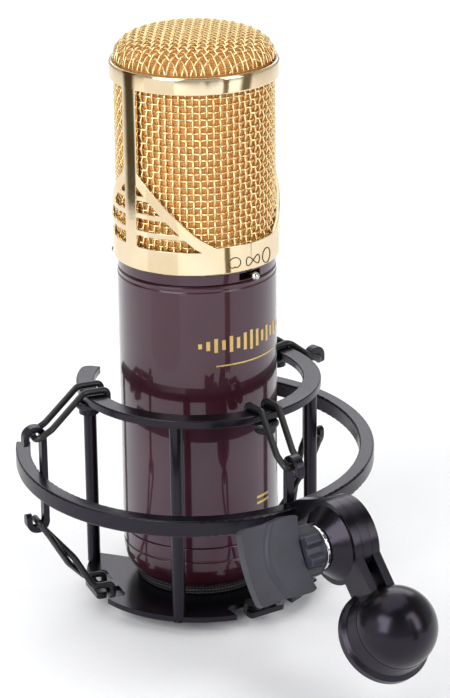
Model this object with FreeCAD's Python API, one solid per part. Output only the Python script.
import FreeCAD, Part
import math
import os
from FreeCAD import Vector, Rotation, Placement

# Large-diaphragm studio condenser microphone standing in its suspension cradle.
# Millimetres. Z is the microphone's axis, z = 0 the face it stands on, -Y the side of the stand swivel.

# ---- driving dimensions: microphone ----
mic_turn = 8.0            # the microphone's front is turned this far about Z from -Y
body_r = 25.0
body_wall = 1.6
body_bottom = 9.1
cap_top = 24.2            # joint between bottom cap and body tube
tube_top = 111.8
seam = 0.2                # visible gap between stacked shells
neck_top = 115.5
head_r = 26.1
head_wall = 1.0
head_top = 177.7
window_bottom = 124.4
window_top = 172.4
gusset_top = 146.3        # where the diagonal edge meets the strut
strut_half_angle = 7.0
head_turn = -1.8          # the head frame sits turned a little against the body
slot_start = 5.8          # the slots begin this many degrees from the strut's middle
gusset_border = 4.4       # height of the solid border under the diagonal edge
slot_heights = [(139.6, 143.4), (134.2, 138.0), (128.7, 132.5), (123.2, 127.0)]
dome_top = 186.7
mesh_r = 25.0
mesh_wall = 0.9
fine_mesh_r = 23.6
fine_mesh_wall = 0.3
spigot_r = 14.0
thread_clearance = 0.06
socket_r = 9.7
socket_depth = 15.0
capsule_z = 149.0
capsule_r = 17.0
switch_z = 113.6
slot_half_angle = 10.0
slot_half_height = 1.1
lever_angles = {"pattern": -90.0, "pad": 59.0, "low_cut": 121.0}
slot_angles = {"pattern": -90.0, "pad": 65.5, "low_cut": 114.5}
chassis_ring_height = 7.0

# ---- driving dimensions: cradle ----
nut_height = 4.5
nut_r = 19.0
plate_bottom = nut_height
plate_thick = 1.8
plate_top = plate_bottom + plate_thick
plate_r = 37.5
plate_hole_r = 14.6
ring_top = 73.4
ring_thick = 2.8
ring_ro = 39.0
ring_ri = 33.2
ring_open_half = 39.0     # half of the opening at the back, degrees
post_r = 2.1
post_circle = 36.0
post_angles = [-135.0, -45.0, 45.0, 135.0]
loop_angles = {"front": -90.0, "left": 167.0, "right": 13.0}
peg_circle = 37.0
peg_r = 1.8
peg_head_r = 3.2
peg_length = 2.5
peg_head = 1.5

# ---- driving dimensions: outer frame, which hangs low and off centre on its elastics ----
outer_shift = Vector(-5.35, -5.43, 54.2)
outer_normal = Vector(-0.028, -0.045, 1.0)
outer_ro = 57.0
outer_ri = 52.4
outer_height = 5.4
outer_open_half = 55.0
bracket_angles = {"front": -90.0, "left": 170.0, "right": 10.0}
bar_width = 2.7
bar_thick = 1.9
hook_gap_r = 1.9          # inside radius of a bracket's curl
hook_high = 12.2          # centre of the upper curl above the ring's top face
hook_low = -16.7
hook_tip_high = 1.4       # straight tip after each curl
hook_tip_low = 1.4

# ---- driving dimensions: swivel ----
hinge_y = -78.5
hinge_z = -2.0
arm_drop = 46.0           # the arm's angle below level
disc_r = 13.0
ear_half = 1.6
yoke_gap = 0.1
yoke_outer = 4.4
arm_low = -1.5
arm_high = 9.5
cup_axis = 31.3
cup_rim_r = 14.6
cup_r = 13.4
dome_r = 12.6
dome_centre = 6.8
stand_thread_r = 8.05     # clears a 5/8 in stand thread, 15.875 mm
stand_thread_depth = 13.0
bolt_r = 2.5
bolt_clearance = 0.07
knob_lean = 27.0          # the blade's top leans in towards the microphone

# ---- driving dimensions: elastics ----
cord_r = 1.05
cord_gap = 0.35
hook_room = 0.5           # gap between a bracket's side and the cord
twist_place = 0.35        # the lower loops' strands cross at this share of their run from the plate
cord_bend = 1.6           # centre-line radius where a cord turns round an edge

axis_z = Vector(0, 0, 1)
origin = Vector(0, 0, 0)
front_right = Vector(1, 0, 0)


outer_place = Placement(outer_shift, Rotation(axis_z, outer_normal))


def cyl(r, z0, z1):
    return Part.makeCylinder(r, z1 - z0, Vector(0, 0, z0))


def tube(ro, ri, z0, z1):
    return cyl(ro, z0, z1).cut(cyl(ri, z0 - 1, z1 + 1))


def box(x0, x1, y0, y1, z0, z1):
    return Part.makeBox(x1 - x0, y1 - y0, z1 - z0, Vector(x0, y0, z0))


def revolved(profile):
    """Solid of revolution about Z from (radius, z) corners."""
    points = [Vector(r, 0, z) for r, z in profile]
    wire = Part.makePolygon(points + [points[0]])
    return Part.Face(wire).revolve(origin, axis_z, 360)


def sector(ro, ri, z0, z1, a0, a1):
    """Part of a tube between two azimuths in degrees."""
    corners = [Vector(ri, 0, z0), Vector(ro, 0, z0), Vector(ro, 0, z1), Vector(ri, 0, z1)]
    face = Part.Face(Part.makePolygon(corners + [corners[0]]))
    solid = face.revolve(origin, axis_z, a1 - a0)
    solid.rotate(origin, axis_z, a0)
    return solid


def turned(shape, angle):
    out = shape.copy()
    out.rotate(origin, axis_z, angle)
    return out


def joined(shapes):
    first = shapes[0]
    if len(shapes) == 1:
        return first
    return first.fuse(shapes[1:]).removeSplitter()


def polar(r, angle, z=0.0):
    a = math.radians(angle)
    return Vector(r * math.cos(a), r * math.sin(a), z)


def rod(r, start, end):
    run = end.sub(start)
    return Part.makeCylinder(r, run.Length, start, run)


def rounded_edges(shape, radius, keep):
    """Rounds the edges that keep(edge) picks."""
    edges = [e for e in shape.Edges if keep(e)]
    try:
        out = shape.makeFillet(radius, edges)
        if out.isValid() and out.Volume > 0:
            return out
    except Exception:
        print("edge rounding skipped")
    return shape


# ---------------------------------------------------------------- microphone body
def body_tube():
    shell = revolved([
        (body_r - body_wall, cap_top + seam), (body_r, cap_top + seam), (body_r, 109.7),
        (body_r - 0.25, 109.9), (body_r - 0.25, 110.8), (body_r - 0.05, 111.2),
        (body_r - 0.6, tube_top), (body_r - body_wall, tube_top)])
    return shell


def bottom_cap():
    """Bottom cap with a rounded foot and one turned groove."""
    floor_top = body_bottom + 1.5
    foot = [(16.0, body_bottom), (19.6, body_bottom)]
    inside = []
    for step in range(1, 7):
        a = math.radians(step * 15.0)
        foot.append((19.6 + (body_r - 19.6) * math.sin(a), body_bottom + 8.6 * (1.0 - math.cos(a))))
        inside.append((18.6 + (body_r - body_wall - 18.6) * math.sin(a), floor_top + 7.1 * (1.0 - math.cos(a))))
    return revolved(foot + [
        (body_r, 19.0), (body_r - 0.35, 19.15), (body_r - 0.35, 19.55),
        (body_r, 19.7), (body_r, cap_top - 0.3), (body_r - 0.3, cap_top),
        (body_r - body_wall, cap_top)] + inside[::-1] + [(18.6, floor_top), (16.0, floor_top)])


def bottom_gasket():
    return revolved([
        (spigot_r + 0.3, plate_top), (20.3, plate_top), (20.8, plate_top + 0.5), (20.8, body_bottom - 0.4),
        (20.4, body_bottom), (spigot_r + 0.3, body_bottom)])


def threaded_spigot():
    flange_bottom = body_bottom + 1.5
    return revolved([
        (socket_r, 0.0), (spigot_r - 0.6, 0.0), (spigot_r, 0.6), (spigot_r, flange_bottom),
        (18.4, flange_bottom), (18.4, flange_bottom + 2.0), (13.0, flange_bottom + 2.0),
        (13.0, 24.0), (socket_r, 24.0)])


def socket_insert():
    return cyl(socket_r, socket_depth, socket_depth + 6.0)


def socket_pins():
    pin_length = 12.5
    pins = []
    for angle in (0.0, 180.0, 270.0):
        at = polar(4.07, angle)
        pin = Part.makeCylinder(1.2, pin_length, Vector(at.x, at.y, socket_depth - pin_length))
        tip = Part.makeSphere(1.2, Vector(at.x, at.y, socket_depth - pin_length))
        pins.append(pin.fuse(tip))
    return Part.makeCompound(pins)


def ring_nut():
    shape = tube(nut_r, spigot_r + thread_clearance, 0.0, nut_height)
    grips = []
    for step in range(18):
        at = polar(nut_r + 0.55, step * 20.0)
        grips.append(Part.makeCylinder(1.1, nut_height + 2, Vector(at.x, at.y, -1)))
    return shape.cut(Part.makeCompound(grips))


# ---------------------------------------------------------------- neck, chassis and electronics
def neck_collar():
    shape = tube(24.8, 21.6, tube_top + 0.3, neck_top)
    for centre in slot_angles.values():
        slot = sector(30.0, 20.0, switch_z - slot_half_height, switch_z + slot_half_height,
                      centre - slot_half_angle, centre + slot_half_angle)
        shape = shape.cut(slot)
    return shape


def head_floor():
    floor_r = head_r - head_wall - 0.05
    disc = cyl(floor_r, neck_top, neck_top + 2.0)
    for angle in (45.0, 135.0, 225.0, 315.0):
        at = polar(19.0, angle)
        disc = disc.cut(Part.makeCylinder(1.3, 10, Vector(at.x, at.y, neck_top - 4)))
    return disc.cut(cyl(3.2, neck_top - 1, neck_top + 3))


def head_screws():
    screws = []
    for angle in (45.0, 135.0, 225.0, 315.0):
        at = polar(19.0, angle)
        shank = Part.makeCylinder(1.2, 6.0, Vector(at.x, at.y, neck_top - 4.0))
        head = Part.makeCylinder(2.3, 1.6, Vector(at.x, at.y, neck_top + 2.0))
        screws.append(shank.fuse(head))
    return Part.makeCompound(screws)


def chassis_top_ring():
    ring = tube(21.3, 16.5, neck_top - chassis_ring_height, neck_top)
    for centre in slot_angles.values():
        ring = ring.cut(sector(30.0, 14.0, switch_z - 1.7, neck_top + 1, centre - 14.0, centre + 14.0))
    for angle in (45.0, 135.0, 225.0, 315.0):
        at = polar(19.0, angle)
        ring = ring.cut(Part.makeCylinder(1.25, 10, Vector(at.x, at.y, neck_top - 5)))
    return ring


def chassis_rail(side):
    x0 = side * 17.4 - 1.0
    return box(x0, x0 + 2.0, -5.0, 5.0, body_bottom + 3.5, neck_top - chassis_ring_height)


def circuit_board():
    return box(-16.4, 16.4, 1.5, 3.1, 30.0, 106.0)


def board_electrolytics():
    cans = []
    for x, z, r, length in ((-9.0, 44.0, 4.0, 11.0), (8.0, 44.0, 4.0, 11.0), (0.0, 60.0, 5.0, 12.0)):
        cans.append(Part.makeCylinder(r, length, Vector(x, 1.5, z), Vector(0, -1, 0)))
    return Part.makeCompound(cans)


def board_film_capacitors():
    blocks = []
    for x, z in ((-10.0, 76.0), (3.0, 76.0), (-10.0, 90.0)):
        blocks.append(box(x, x + 7.5, -5.5, 1.5, z, z + 10.0))
    return Part.makeCompound(blocks)


def board_resistors():
    parts = []
    for row in range(4):
        for column in range(3):
            x = -12.0 + column * 10.0
            z = 38.0 + row * 15.0
            parts.append(Part.makeCylinder(1.2, 6.5, Vector(x, 4.3, z), Vector(1, 0, 0)))
    return Part.makeCompound(parts)


def switch_body(centre):
    """Slide switch housing behind its neck slot, with a channel for the lever's stem."""
    housing = sector(20.4, 14.5, switch_z - 1.6, switch_z + 1.6, centre - 13.0, centre + 13.0)
    channel = sector(21.0, 17.0, switch_z - 1.0, switch_z + 1.0, centre - slot_half_angle, centre + slot_half_angle)
    return housing.cut(channel)


def switch_lever(centre):
    stem = rod(0.7, polar(17.6, centre, switch_z), polar(26.6, centre, switch_z))
    ball = Part.makeSphere(1.35, polar(26.9, centre, switch_z))
    return stem.fuse(ball)


# ---------------------------------------------------------------- head
def diagonal_prism(offset):
    """Everything above a window's slanted lower edge, as seen square to the slant's middle."""
    slant_dir = 34.0
    reach = head_r * math.sin(math.radians(slant_dir - strut_half_angle))
    points = [
        Vector(0, -reach - 12, gusset_top + offset + 11.0), Vector(0, -reach, gusset_top + offset),
        Vector(0, 0, 134.9 + offset), Vector(0, 7.0, 128.2 + offset * 0.9),
        Vector(0, 12.6, window_bottom + offset * 0.8), Vector(0, 40, window_bottom + offset * 0.8),
        Vector(0, 40, 200), Vector(0, -reach - 12, 200)]
    face = Part.Face(Part.makePolygon(points + [points[0]]))
    prism = face.extrude(Vector(40, 0, 0))
    prism.rotate(origin, axis_z, slant_dir)
    return prism


def window_cut():
    """One quarter of a window: from a strut at azimuth 0 to the middle of the window at 90."""
    upper = sector(30.0, 22.0, window_bottom, window_top, strut_half_angle, 90.4)
    return upper.common(diagonal_prism(0.0))


def gusset_slots():
    outer = diagonal_prism(-gusset_border)
    slots = []
    for low, high in slot_heights:
        level = sector(30.0, 22.0, low, high, slot_start, 60.0)
        slots.append(level.cut(outer))
    return joined(slots)


def head_frame():
    """Plated head frame: lower band, two struts with slotted gussets, and top ring in one piece."""
    shell = revolved([
        (head_r - head_wall, neck_top + 0.05), (head_r - 0.35, neck_top + 0.05), (head_r, neck_top + 0.5),
        (head_r, window_top), (head_r + 0.15, window_top + 0.5), (head_r + 0.15, head_top - 0.8),
        (head_r - 0.25, head_top), (head_r - head_wall, head_top)])
    quarter = window_cut().fuse(gusset_slots())
    mirrored = quarter.mirror(origin, Vector(1, 0, 0))
    half = quarter.fuse(mirrored)
    other = half.mirror(origin, Vector(0, 1, 0))
    return shell.cut(half).cut(other)


def side_mesh():
    return tube(mesh_r, mesh_r - mesh_wall, neck_top + 2.1, head_top - 0.6)


def dome_height(r):
    """Height of the dome's outside over its rim: a flattened dome with round shoulders."""
    t = min(1.0, r / mesh_r)
    return (dome_top - head_top + 0.6) * (1.0 - t ** 4.5) ** (1.0 / 2.2)


def dome_mesh():
    steps = 14
    outside = []
    for k in range(steps + 1):
        r = mesh_r * math.sin(math.pi / 2 * k / steps)
        outside.append(Vector(r, 0, head_top - 0.6 + dome_height(r)))
    inside = []
    shrink = (mesh_r - mesh_wall) / mesh_r
    for point in outside:
        inside.append(Vector(point.x * shrink, 0, head_top - 0.6 + (point.z - head_top + 0.6) * 0.93))
    top = Part.BSplineCurve()
    top.interpolate(outside)
    under = Part.BSplineCurve()
    under.interpolate(inside)
    edges = [top.toShape(), Part.makeLine(outside[-1], inside[-1]), under.toShape(),
             Part.makeLine(inside[0], outside[0])]
    return Part.Face(Part.Wire(edges)).revolve(origin, axis_z, 360)


def fine_mesh():
    wall = fine_mesh_wall
    return revolved([
        (fine_mesh_r - wall, neck_top + 2.1), (fine_mesh_r, neck_top + 2.1), (fine_mesh_r, 178.6),
        (21.0, 181.9), (17.0, 183.9), (10.0, 184.9), (0.0, 185.1), (0.0, 185.1 - wall), (9.9, 184.9 - wall),
        (16.9, 183.9 - wall), (20.8, 181.9 - wall), (fine_mesh_r - wall, 178.4)])


# ---------------------------------------------------------------- capsule
def capsule_disc(r, y0, y1):
    return Part.makeCylinder(r, y1 - y0, Vector(0, y0, capsule_z), Vector(0, 1, 0))


def capsule_backplate(side):
    y0, y1 = (-4.5, -0.15) if side < 0 else (0.15, 4.5)
    plate = capsule_disc(capsule_r, y0, y1)
    for step in range(8):
        a = math.radians(step * 45.0 + 22.5)
        at = Vector(9.0 * math.cos(a), 0, capsule_z + 9.0 * math.sin(a))
        plate = plate.cut(Part.makeCylinder(1.0, 20, Vector(at.x, -10, at.z), Vector(0, 1, 0)))
    return plate


def capsule_diaphragm(side):
    y0, y1 = (-4.8, -4.5) if side < 0 else (4.5, 4.8)
    return capsule_disc(capsule_r - 0.6, y0, y1)


def capsule_clamp_ring(side):
    y0, y1 = (-6.0, -4.8) if side < 0 else (4.8, 6.0)
    return capsule_disc(capsule_r, y0, y1).cut(capsule_disc(13.0, y0 - 1, y1 + 1))


def capsule_screws():
    screws = []
    for side in (-1, 1):
        for step in range(6):
            a = math.radians(step * 60.0)
            at = Vector(15.0 * math.cos(a), 6.0 * side, capsule_z + 15.0 * math.sin(a))
            screws.append(Part.makeCylinder(0.9, 0.8, at, Vector(0, side, 0)))
    return Part.makeCompound(screws)


def capsule_saddle():
    """Insulating post with a cradle that holds the capsule by its edge."""
    post = cyl(3.1, neck_top - 2.0, neck_top + 3.0).fuse(cyl(5.5, neck_top + 2.0, 127.0))
    cradle = box(-10.0, 10.0, -4.0, 4.0, 127.0, 136.0)
    hollow = Part.makeCylinder(capsule_r + 0.05, 40, Vector(0, -20, capsule_z), Vector(0, 1, 0))
    return joined([post, cradle]).cut(hollow)


# ---------------------------------------------------------------- cradle
def base_plate():
    """Round plate with an open back and three T-headed tongues that the lower elastics go round."""
    plate = cyl(plate_r, plate_bottom, plate_top)
    opening = sector(60.0, 18.0, 0.0, 20.0, 54.0, 126.0)
    plate = plate.cut(opening)
    neck_half = 2.8
    notch_half = 10.6
    notch_depth = 29.6
    head_half = 6.6
    head_in = 34.6
    for angle in loop_angles.values():
        notch = box(notch_depth, 60.0, -notch_half, notch_half, 0.0, 20.0)
        notch = rounded_edges(notch, 1.6, lambda e: abs(e.BoundBox.XMax - notch_depth) < 1e-6
                              and e.BoundBox.ZLength > 10)
        plate = plate.cut(turned(notch, angle))
        neck = box(notch_depth - 1.0, head_in + 1.0, -neck_half, neck_half, plate_bottom, plate_top)
        head = box(head_in, plate_r + 0.6, -head_half, head_half, plate_bottom, plate_top)
        head = rounded_edges(head, 1.3, lambda e: e.BoundBox.ZLength > 1.5)
        plate = plate.fuse(turned(neck.fuse(head), angle))
    plate = plate.cut(cyl(plate_hole_r, 0.0, 20.0)).removeSplitter()
    for angle in post_angles:
        at = polar(post_circle, angle)
        plate = plate.cut(Part.makeCylinder(1.1, 20, Vector(at.x, at.y, 0)))
        plate = plate.cut(Part.makeCone(2.3, 1.1, 1.2, Vector(at.x, at.y, plate_bottom)))
    return plate


def cradle_post(angle):
    at = polar(post_circle, angle)
    post = Part.makeCylinder(post_r, ring_top - ring_thick - plate_top, Vector(at.x, at.y, plate_top))
    pilot = Part.makeCylinder(1.0, 6.2, Vector(at.x, at.y, plate_top - 0.1))
    return post.cut(pilot)


def post_screws():
    screws = []
    for angle in post_angles:
        at = polar(post_circle, angle)
        shank = Part.makeCylinder(1.0, 7.6, Vector(at.x, at.y, plate_bottom))
        head = Part.makeCone(2.15, 1.0, 1.15, Vector(at.x, at.y, plate_bottom))
        screws.append(shank.fuse(head))
    return Part.makeCompound(screws)


def cradle_ring():
    """Open ring over the posts, with headed pegs underneath for the upper elastics."""
    start = 90.0 + ring_open_half
    ring = sector(ring_ro, ring_ri, ring_top - ring_thick, ring_top, start, start + 360.0 - 2 * ring_open_half)
    ring = rounded_edges(ring, 3.0, lambda e: e.BoundBox.ZLength > 2.5
                         and abs(math.hypot(e.CenterOfMass.x, e.CenterOfMass.y) - ring_ro) < 0.1
                         and e.BoundBox.XLength < 0.1)
    ring = rounded_edges(ring, 0.5, lambda e: e.BoundBox.ZLength < 0.01)
    under = ring_top - ring_thick
    for angle in loop_angles.values():
        at = polar(peg_circle, angle)
        stem = Part.makeCylinder(peg_r, peg_length + 0.5, Vector(at.x, at.y, under - peg_length))
        head = Part.makeCylinder(peg_head_r, peg_head, Vector(at.x, at.y, under - peg_length - peg_head))
        ring = ring.fuse(stem.fuse(head))
    return ring.removeSplitter()


# ---------------------------------------------------------------- outer frame
def outer_ring():
    """Open ring with the swivel ear at its front, in the outer frame's own axes."""
    start = 90.0 + outer_open_half
    ring = sector(outer_ro, outer_ri, -outer_height, 0.0, start, start + 360.0 - 2 * outer_open_half)
    ring = rounded_edges(ring, 0.7, lambda e: e.BoundBox.ZLength < 0.01)
    ear_disc = Part.makeCylinder(disc_r, 2 * ear_half, Vector(-ear_half, hinge_y, hinge_z), front_right)
    corners = [
        Vector(-ear_half, -outer_ri - 1.5, 0.0), Vector(-ear_half, -outer_ro - 1.0, 3.2),
        Vector(-ear_half, hinge_y + 3.0, hinge_z + disc_r - 0.35),
        Vector(-ear_half, hinge_y, hinge_z + disc_r), Vector(-ear_half, hinge_y, hinge_z - 6.0),
        Vector(-ear_half, hinge_y + disc_r - 3.0, hinge_z - 7.6), Vector(-ear_half, -outer_ri - 1.5, -outer_height)]
    web = Part.Face(Part.makePolygon(corners + [corners[0]])).extrude(Vector(2 * ear_half, 0, 0))
    ring = ring.fuse([web, ear_disc]).removeSplitter()
    hole = Part.makeCylinder(bolt_r + bolt_clearance, 20, Vector(-10, hinge_y, hinge_z), front_right)
    return ring.cut(hole)


def bracket(angle):
    """Flat bar on the ring's inner wall, curled outward into a hook at both ends."""
    outer_face = outer_ri - 0.05
    inner_face = outer_face - bar_thick
    curl_x = outer_face + hook_gap_r
    half = bar_width / 2
    bar = box(inner_face, outer_face, -half, half, hook_low, hook_high)
    pieces = [bar]
    for z, side, hook_tip in ((hook_high, 1, hook_tip_high), (hook_low, -1, hook_tip_low)):
        bend = Part.makeCylinder(hook_gap_r + bar_thick, bar_width, Vector(curl_x, half, z), Vector(0, -1, 0))
        bend = bend.cut(Part.makeCylinder(hook_gap_r, bar_width + 2, Vector(curl_x, half + 1, z), Vector(0, -1, 0)))
        keep = box(inner_face - 1, curl_x + 9, -9, 9, min(z, z + side * 9), max(z, z + side * 9))
        pieces.append(bend.common(keep))
        tip_x = curl_x + hook_gap_r
        low, high = sorted((z, z - side * hook_tip))
        tip = box(tip_x, tip_x + bar_thick, -half, half, low, high)
        end = Part.makeCylinder(half, bar_thick, Vector(tip_x, 0, z - side * hook_tip), Vector(1, 0, 0))
        pieces.append(tip.fuse(end))
    return turned(joined(pieces), angle)


# ---------------------------------------------------------------- elastics
def loop_tube(points, radii):
    """Closed cord of straight runs and tangent arcs through the corner points."""
    count = len(points)
    corners = []
    for i in range(count):
        before = points[i - 1].sub(points[i]).normalize()
        after = points[(i + 1) % count].sub(points[i]).normalize()
        half_turn = before.getAngle(after) / 2
        leg = radii[i] / math.tan(half_turn)
        start = points[i].add(Vector(before).multiply(leg))
        end = points[i].add(Vector(after).multiply(leg))
        middle = before.add(after).normalize()
        centre = points[i].add(middle.multiply(radii[i] / math.sin(half_turn)))
        corners.append((start, end, centre, before, math.degrees(math.pi - 2 * half_turn)))
    pieces = []
    length = 0.0
    for i in range(count):
        start, end, centre, before, sweep = corners[i]
        inward = Vector(before).multiply(-1)
        disc = Part.Face(Part.Wire(Part.makeCircle(cord_r, start, inward)))
        turn_axis = start.sub(centre).cross(inward)
        pieces.append(disc.revolve(centre, turn_axis, sweep))
        length += radii[i] * math.radians(sweep)
        run = corners[(i + 1) % count][0].sub(end)
        if run.Length < 0.02 or run.dot(points[(i + 1) % count].sub(points[i])) < 0:
            print("run %d is too short: %.2f" % (i, run.Length))
        pieces.append(Part.makeCylinder(cord_r, run.Length, end, run))
        length += run.Length
    solid = pieces[0].fuse(pieces[1:])
    expect = math.pi * cord_r ** 2 * length
    print("elastic length %.1f  volume ratio %.4f" % (length, solid.Volume / expect))
    return solid


def outer_point(r, angle, s, z):
    """World position of a point of the outer frame: radius, sideways offset and height."""
    local = polar(r, angle, z).add(polar(s, angle + 90.0))
    return outer_place.multVec(local)


def cradle_point(r, angle, s, z):
    return polar(r, angle, z).add(polar(s, angle + 90.0))


def upper_elastic(where):
    """Loop from the peg under the cradle ring, round the ring's inner edge, to the bracket's upper hook."""
    a = loop_angles[where]
    b = bracket_angles[where]
    side = peg_r + cord_gap + cord_r
    under = ring_top - ring_thick - cord_gap / 2 - cord_r
    over = ring_top + cord_gap / 2 + cord_r
    inner = ring_ri - cord_gap - cord_r
    hook_side = bar_width / 2 + hook_room + cord_r
    hook_out = outer_ri + hook_gap_r
    half = []
    for sign in (1, -1):
        half.append([
            (cradle_point(peg_circle + side, a, sign * side, under), side * 0.98),
            (cradle_point(inner, a, sign * side, under), cord_bend),
            (cradle_point(inner, a, sign * side, over), cord_bend),
            (cradle_point(ring_ro + 0.5, a, sign * side, over), 3.0),
            (outer_point(49.4, b, sign * hook_side, hook_high + 2.6), 2.5),
            (outer_point(hook_out, b, sign * hook_side, hook_high), cord_bend)])
    route = half[0] + half[1][::-1]
    return loop_tube([p for p, r in route], [r for p, r in route])


def lower_elastic(where):
    """Loop from under a tongue of the base plate, up through its notches, and with a half twist to the lower hook."""
    a = loop_angles[where]
    b = bracket_angles[where]
    side = 2.8 + cord_gap + cord_r
    under = plate_bottom - cord_gap - cord_r
    over = plate_top + cord_gap + cord_r
    hook_side = bar_width / 2 + hook_room + cord_r
    hook_out = outer_ri + hook_gap_r
    plate_end = cradle_point(38.6, a, 0.0, over + 0.5)
    hook_end = outer_point(hook_out, b, 0.0, hook_low)
    run = hook_end.sub(plate_end)
    crossing = plate_end.add(Vector(run).multiply(twist_place))
    across = cradle_point(0.0, a, 1.0, 0.0)
    lift = run.cross(across).normalize()
    half = []
    for sign in (1, -1):
        half.append([
            (cradle_point(32.1, a, sign * side, under), cord_bend),
            (cradle_point(32.3, a, sign * side, over + 0.4), cord_bend),
            (cradle_point(38.6, a, sign * side, over + 0.5), 3.0),
            (crossing.add(Vector(lift).multiply(sign * (cord_r + cord_gap / 2))), 10.0),
            (outer_point(51.6, b, -sign * hook_side, hook_low - 4.4), 2.5),
            (outer_point(hook_out, b, -sign * hook_side, hook_low), cord_bend)])
    route = half[0] + half[1][::-1]
    return loop_tube([p for p, r in route], [r for p, r in route])


# ---------------------------------------------------------------- swivel, about the hinge as origin
def swivel_place(shape):
    out = shape.copy()
    out.rotate(origin, front_right, arm_drop)
    out.translate(Vector(0, hinge_y, hinge_z))
    return out


def hinge_disc(r, s0, s1):
    return Part.makeCylinder(r, s1 - s0, Vector(s0, 0, 0), front_right)


def stand_adapter():
    """Yoke of two plates on the side of a domed cup that screws on to a stand."""
    inner = ear_half + yoke_gap
    pieces = []
    for s0, s1 in ((-yoke_outer, -inner), (inner, yoke_outer)):
        pieces.append(hinge_disc(disc_r, s0, s1))
        pieces.append(box(s0, s1, -cup_axis, 0.0, arm_low, arm_high))
    boss = Part.makeCone(11.6, 7.4, 4.1, Vector(-yoke_outer, 0, 0), Vector(-1, 0, 0))
    pieces.append(boss)
    cup = revolved([(0.0, 0.0), (cup_rim_r, 0.0), (cup_rim_r, 2.2), (cup_r, 3.2), (0.0, 3.2)])
    waist = Part.makeCone(cup_r, dome_r + 0.12, dome_centre - arm_low - 3.2, Vector(0, 0, 3.2))
    ball = Part.makeSphere(dome_r, Vector(0, 0, dome_centre - arm_low))
    ball = ball.cut(box(-30, 30, -30, 30, -30, dome_centre - arm_low))
    cup = joined([cup, waist, ball])
    cup.translate(Vector(0, -cup_axis, arm_low))
    shape = joined(pieces + [cup])
    thread = Part.makeCylinder(stand_thread_r, stand_thread_depth, Vector(0, -cup_axis, arm_low - 0.01))
    shape = shape.cut(thread)
    lead_in = Part.makeCone(stand_thread_r + 0.8, stand_thread_r, 0.8, Vector(0, -cup_axis, arm_low - 0.001))
    shape = shape.cut(lead_in)
    ear_room = box(-inner, inner, -disc_r - 1.2, disc_r + 1, -disc_r - 1, disc_r + 1)
    shape = shape.cut(ear_room)
    return shape.cut(hinge_disc(bolt_r + bolt_clearance, -12, 12))


def clamp_bolt():
    return hinge_disc(bolt_r, -13.0, yoke_outer + 1.5)


def bolt_end_nut():
    nut = hinge_disc(4.6, yoke_outer, yoke_outer + 2.4)
    return nut.cut(hinge_disc(bolt_r + bolt_clearance, -20, 20))


def clamp_washer():
    washer = hinge_disc(6.9, -9.9, -8.6)
    return washer.cut(hinge_disc(bolt_r, -20, 0))


def thumb_knob():
    """Wing knob moulded on the clamp bolt: fluted hub and a broad blade with hollowed faces."""
    hub = Part.makeCone(6.7, 9.3, 4.2, Vector(-10.0, 0, 0), Vector(-1, 0, 0))
    for step in range(12):
        a = math.radians(step * 30.0)
        at = Vector(-14.5, 9.9 * math.cos(a), 9.9 * math.sin(a))
        hub = hub.cut(Part.makeCylinder(1.1, 6.0, at, front_right))
    corners = [
        Vector(-14.0, 0, 10.9), Vector(-15.2, 0, 12.4), Vector(-33.0, 0, 11.6), Vector(-34.6, 0, 10.0),
        Vector(-34.8, 0, -9.9), Vector(-33.2, 0, -11.8), Vector(-15.4, 0, -12.6), Vector(-14.0, 0, -11.0)]
    blade = Part.Face(Part.makePolygon(corners + [corners[0]])).extrude(Vector(0, 9.0, 0))
    blade.translate(Vector(0, -4.5, 0))
    for side in (-1, 1):
        hollow = Part.makeCylinder(40.0, 60, Vector(-46.0, side * 42.2, -30), axis_z)
        blade = blade.cut(hollow)
    knob = joined([hub, blade])
    knob = knob.cut(hinge_disc(bolt_r, -13.0, 0.0))
    knob.rotate(origin, front_right, -knob_lean - arm_drop)
    return knob


def save(name, shape, place=None):
    out = shape.copy()
    if place is not None:
        out.Placement = place.multiply(out.Placement)
    out.exportStep("parts/%s.step" % name)
    solids = len(out.Solids)
    print("%-24s solids %d  valid %s  volume %.1f" % (name, solids, out.isValid(), out.Volume))


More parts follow.
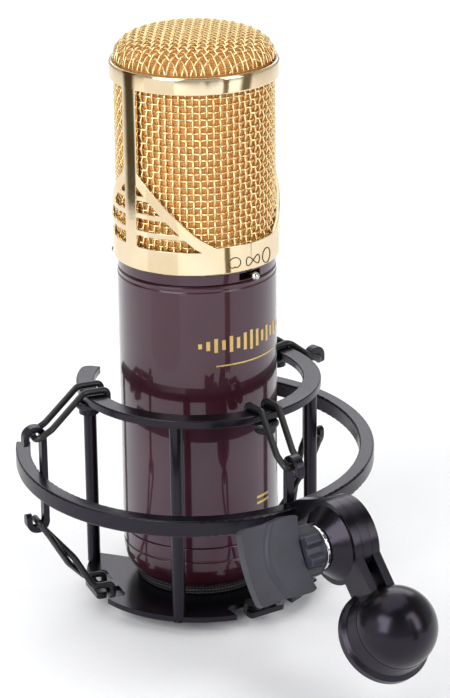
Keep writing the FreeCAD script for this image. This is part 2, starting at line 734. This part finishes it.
def main():
    os.makedirs("parts", exist_ok=True)
    mic = Placement(origin, Rotation(axis_z, mic_turn))
    head = Placement(origin, Rotation(axis_z, mic_turn + head_turn))
    for name, shape in {
            "body_tube": body_tube(), "bottom_cap": bottom_cap(), "bottom_gasket": bottom_gasket(),
            "threaded_spigot": threaded_spigot(), "socket_insert": socket_insert(),
            "socket_pins": socket_pins(), "neck_collar": neck_collar(), "head_floor": head_floor(),
            "head_screws": head_screws(), "chassis_top_ring": chassis_top_ring(),
            "chassis_rail_left": chassis_rail(-1), "chassis_rail_right": chassis_rail(1),
            "circuit_board": circuit_board(), "board_electrolytics": board_electrolytics(),
            "board_film_capacitors": board_film_capacitors(), "board_resistors": board_resistors(),
            "side_mesh": side_mesh(), "dome_mesh": dome_mesh(),
            "fine_mesh": fine_mesh(), "capsule_saddle": capsule_saddle(),
            "capsule_backplate_front": capsule_backplate(-1), "capsule_backplate_rear": capsule_backplate(1),
            "diaphragm_front": capsule_diaphragm(-1), "diaphragm_rear": capsule_diaphragm(1),
            "diaphragm_ring_front": capsule_clamp_ring(-1), "diaphragm_ring_rear": capsule_clamp_ring(1),
            "diaphragm_screws": capsule_screws()}.items():
        save(name, shape, mic)
    for switch, angle in lever_angles.items():
        save(switch + "_switch_body", switch_body(slot_angles[switch]), mic)
        save(switch + "_switch_lever", switch_lever(angle), mic)
    save("head_frame", head_frame(), head)
    save("ring_nut", ring_nut())
    save("base_plate", base_plate())
    for number, angle in enumerate(post_angles, 1):
        save("cradle_post_%d" % number, cradle_post(angle))
    save("post_screws", post_screws())
    save("cradle_ring", cradle_ring())
    save("outer_ring", outer_ring(), outer_place)
    for where, angle in bracket_angles.items():
        save("bracket_" + where, bracket(angle), outer_place)
        save("upper_elastic_" + where, upper_elastic(where))
        save("lower_elastic_" + where, lower_elastic(where))
    for name, shape in {
            "stand_adapter": stand_adapter(), "clamp_bolt": clamp_bolt(), "bolt_end_nut": bolt_end_nut(),
            "clamp_washer": clamp_washer(), "thumb_knob": thumb_knob()}.items():
        save(name, swivel_place(shape), outer_place)
    hinge = outer_place.multVec(Vector(0, hinge_y, hinge_z))
    direction = outer_place.Rotation.multVec(front_right)
    print("hinge at", hinge, "along", direction)
    cup_mouth = swivel_place(Part.Vertex(0, -cup_axis, arm_low)).Point
    cup_out = Rotation(front_right, arm_drop).multVec(Vector(0, 0, -1))
    print("stand thread mouth", outer_place.multVec(cup_mouth), "out", outer_place.Rotation.multVec(cup_out))


main()
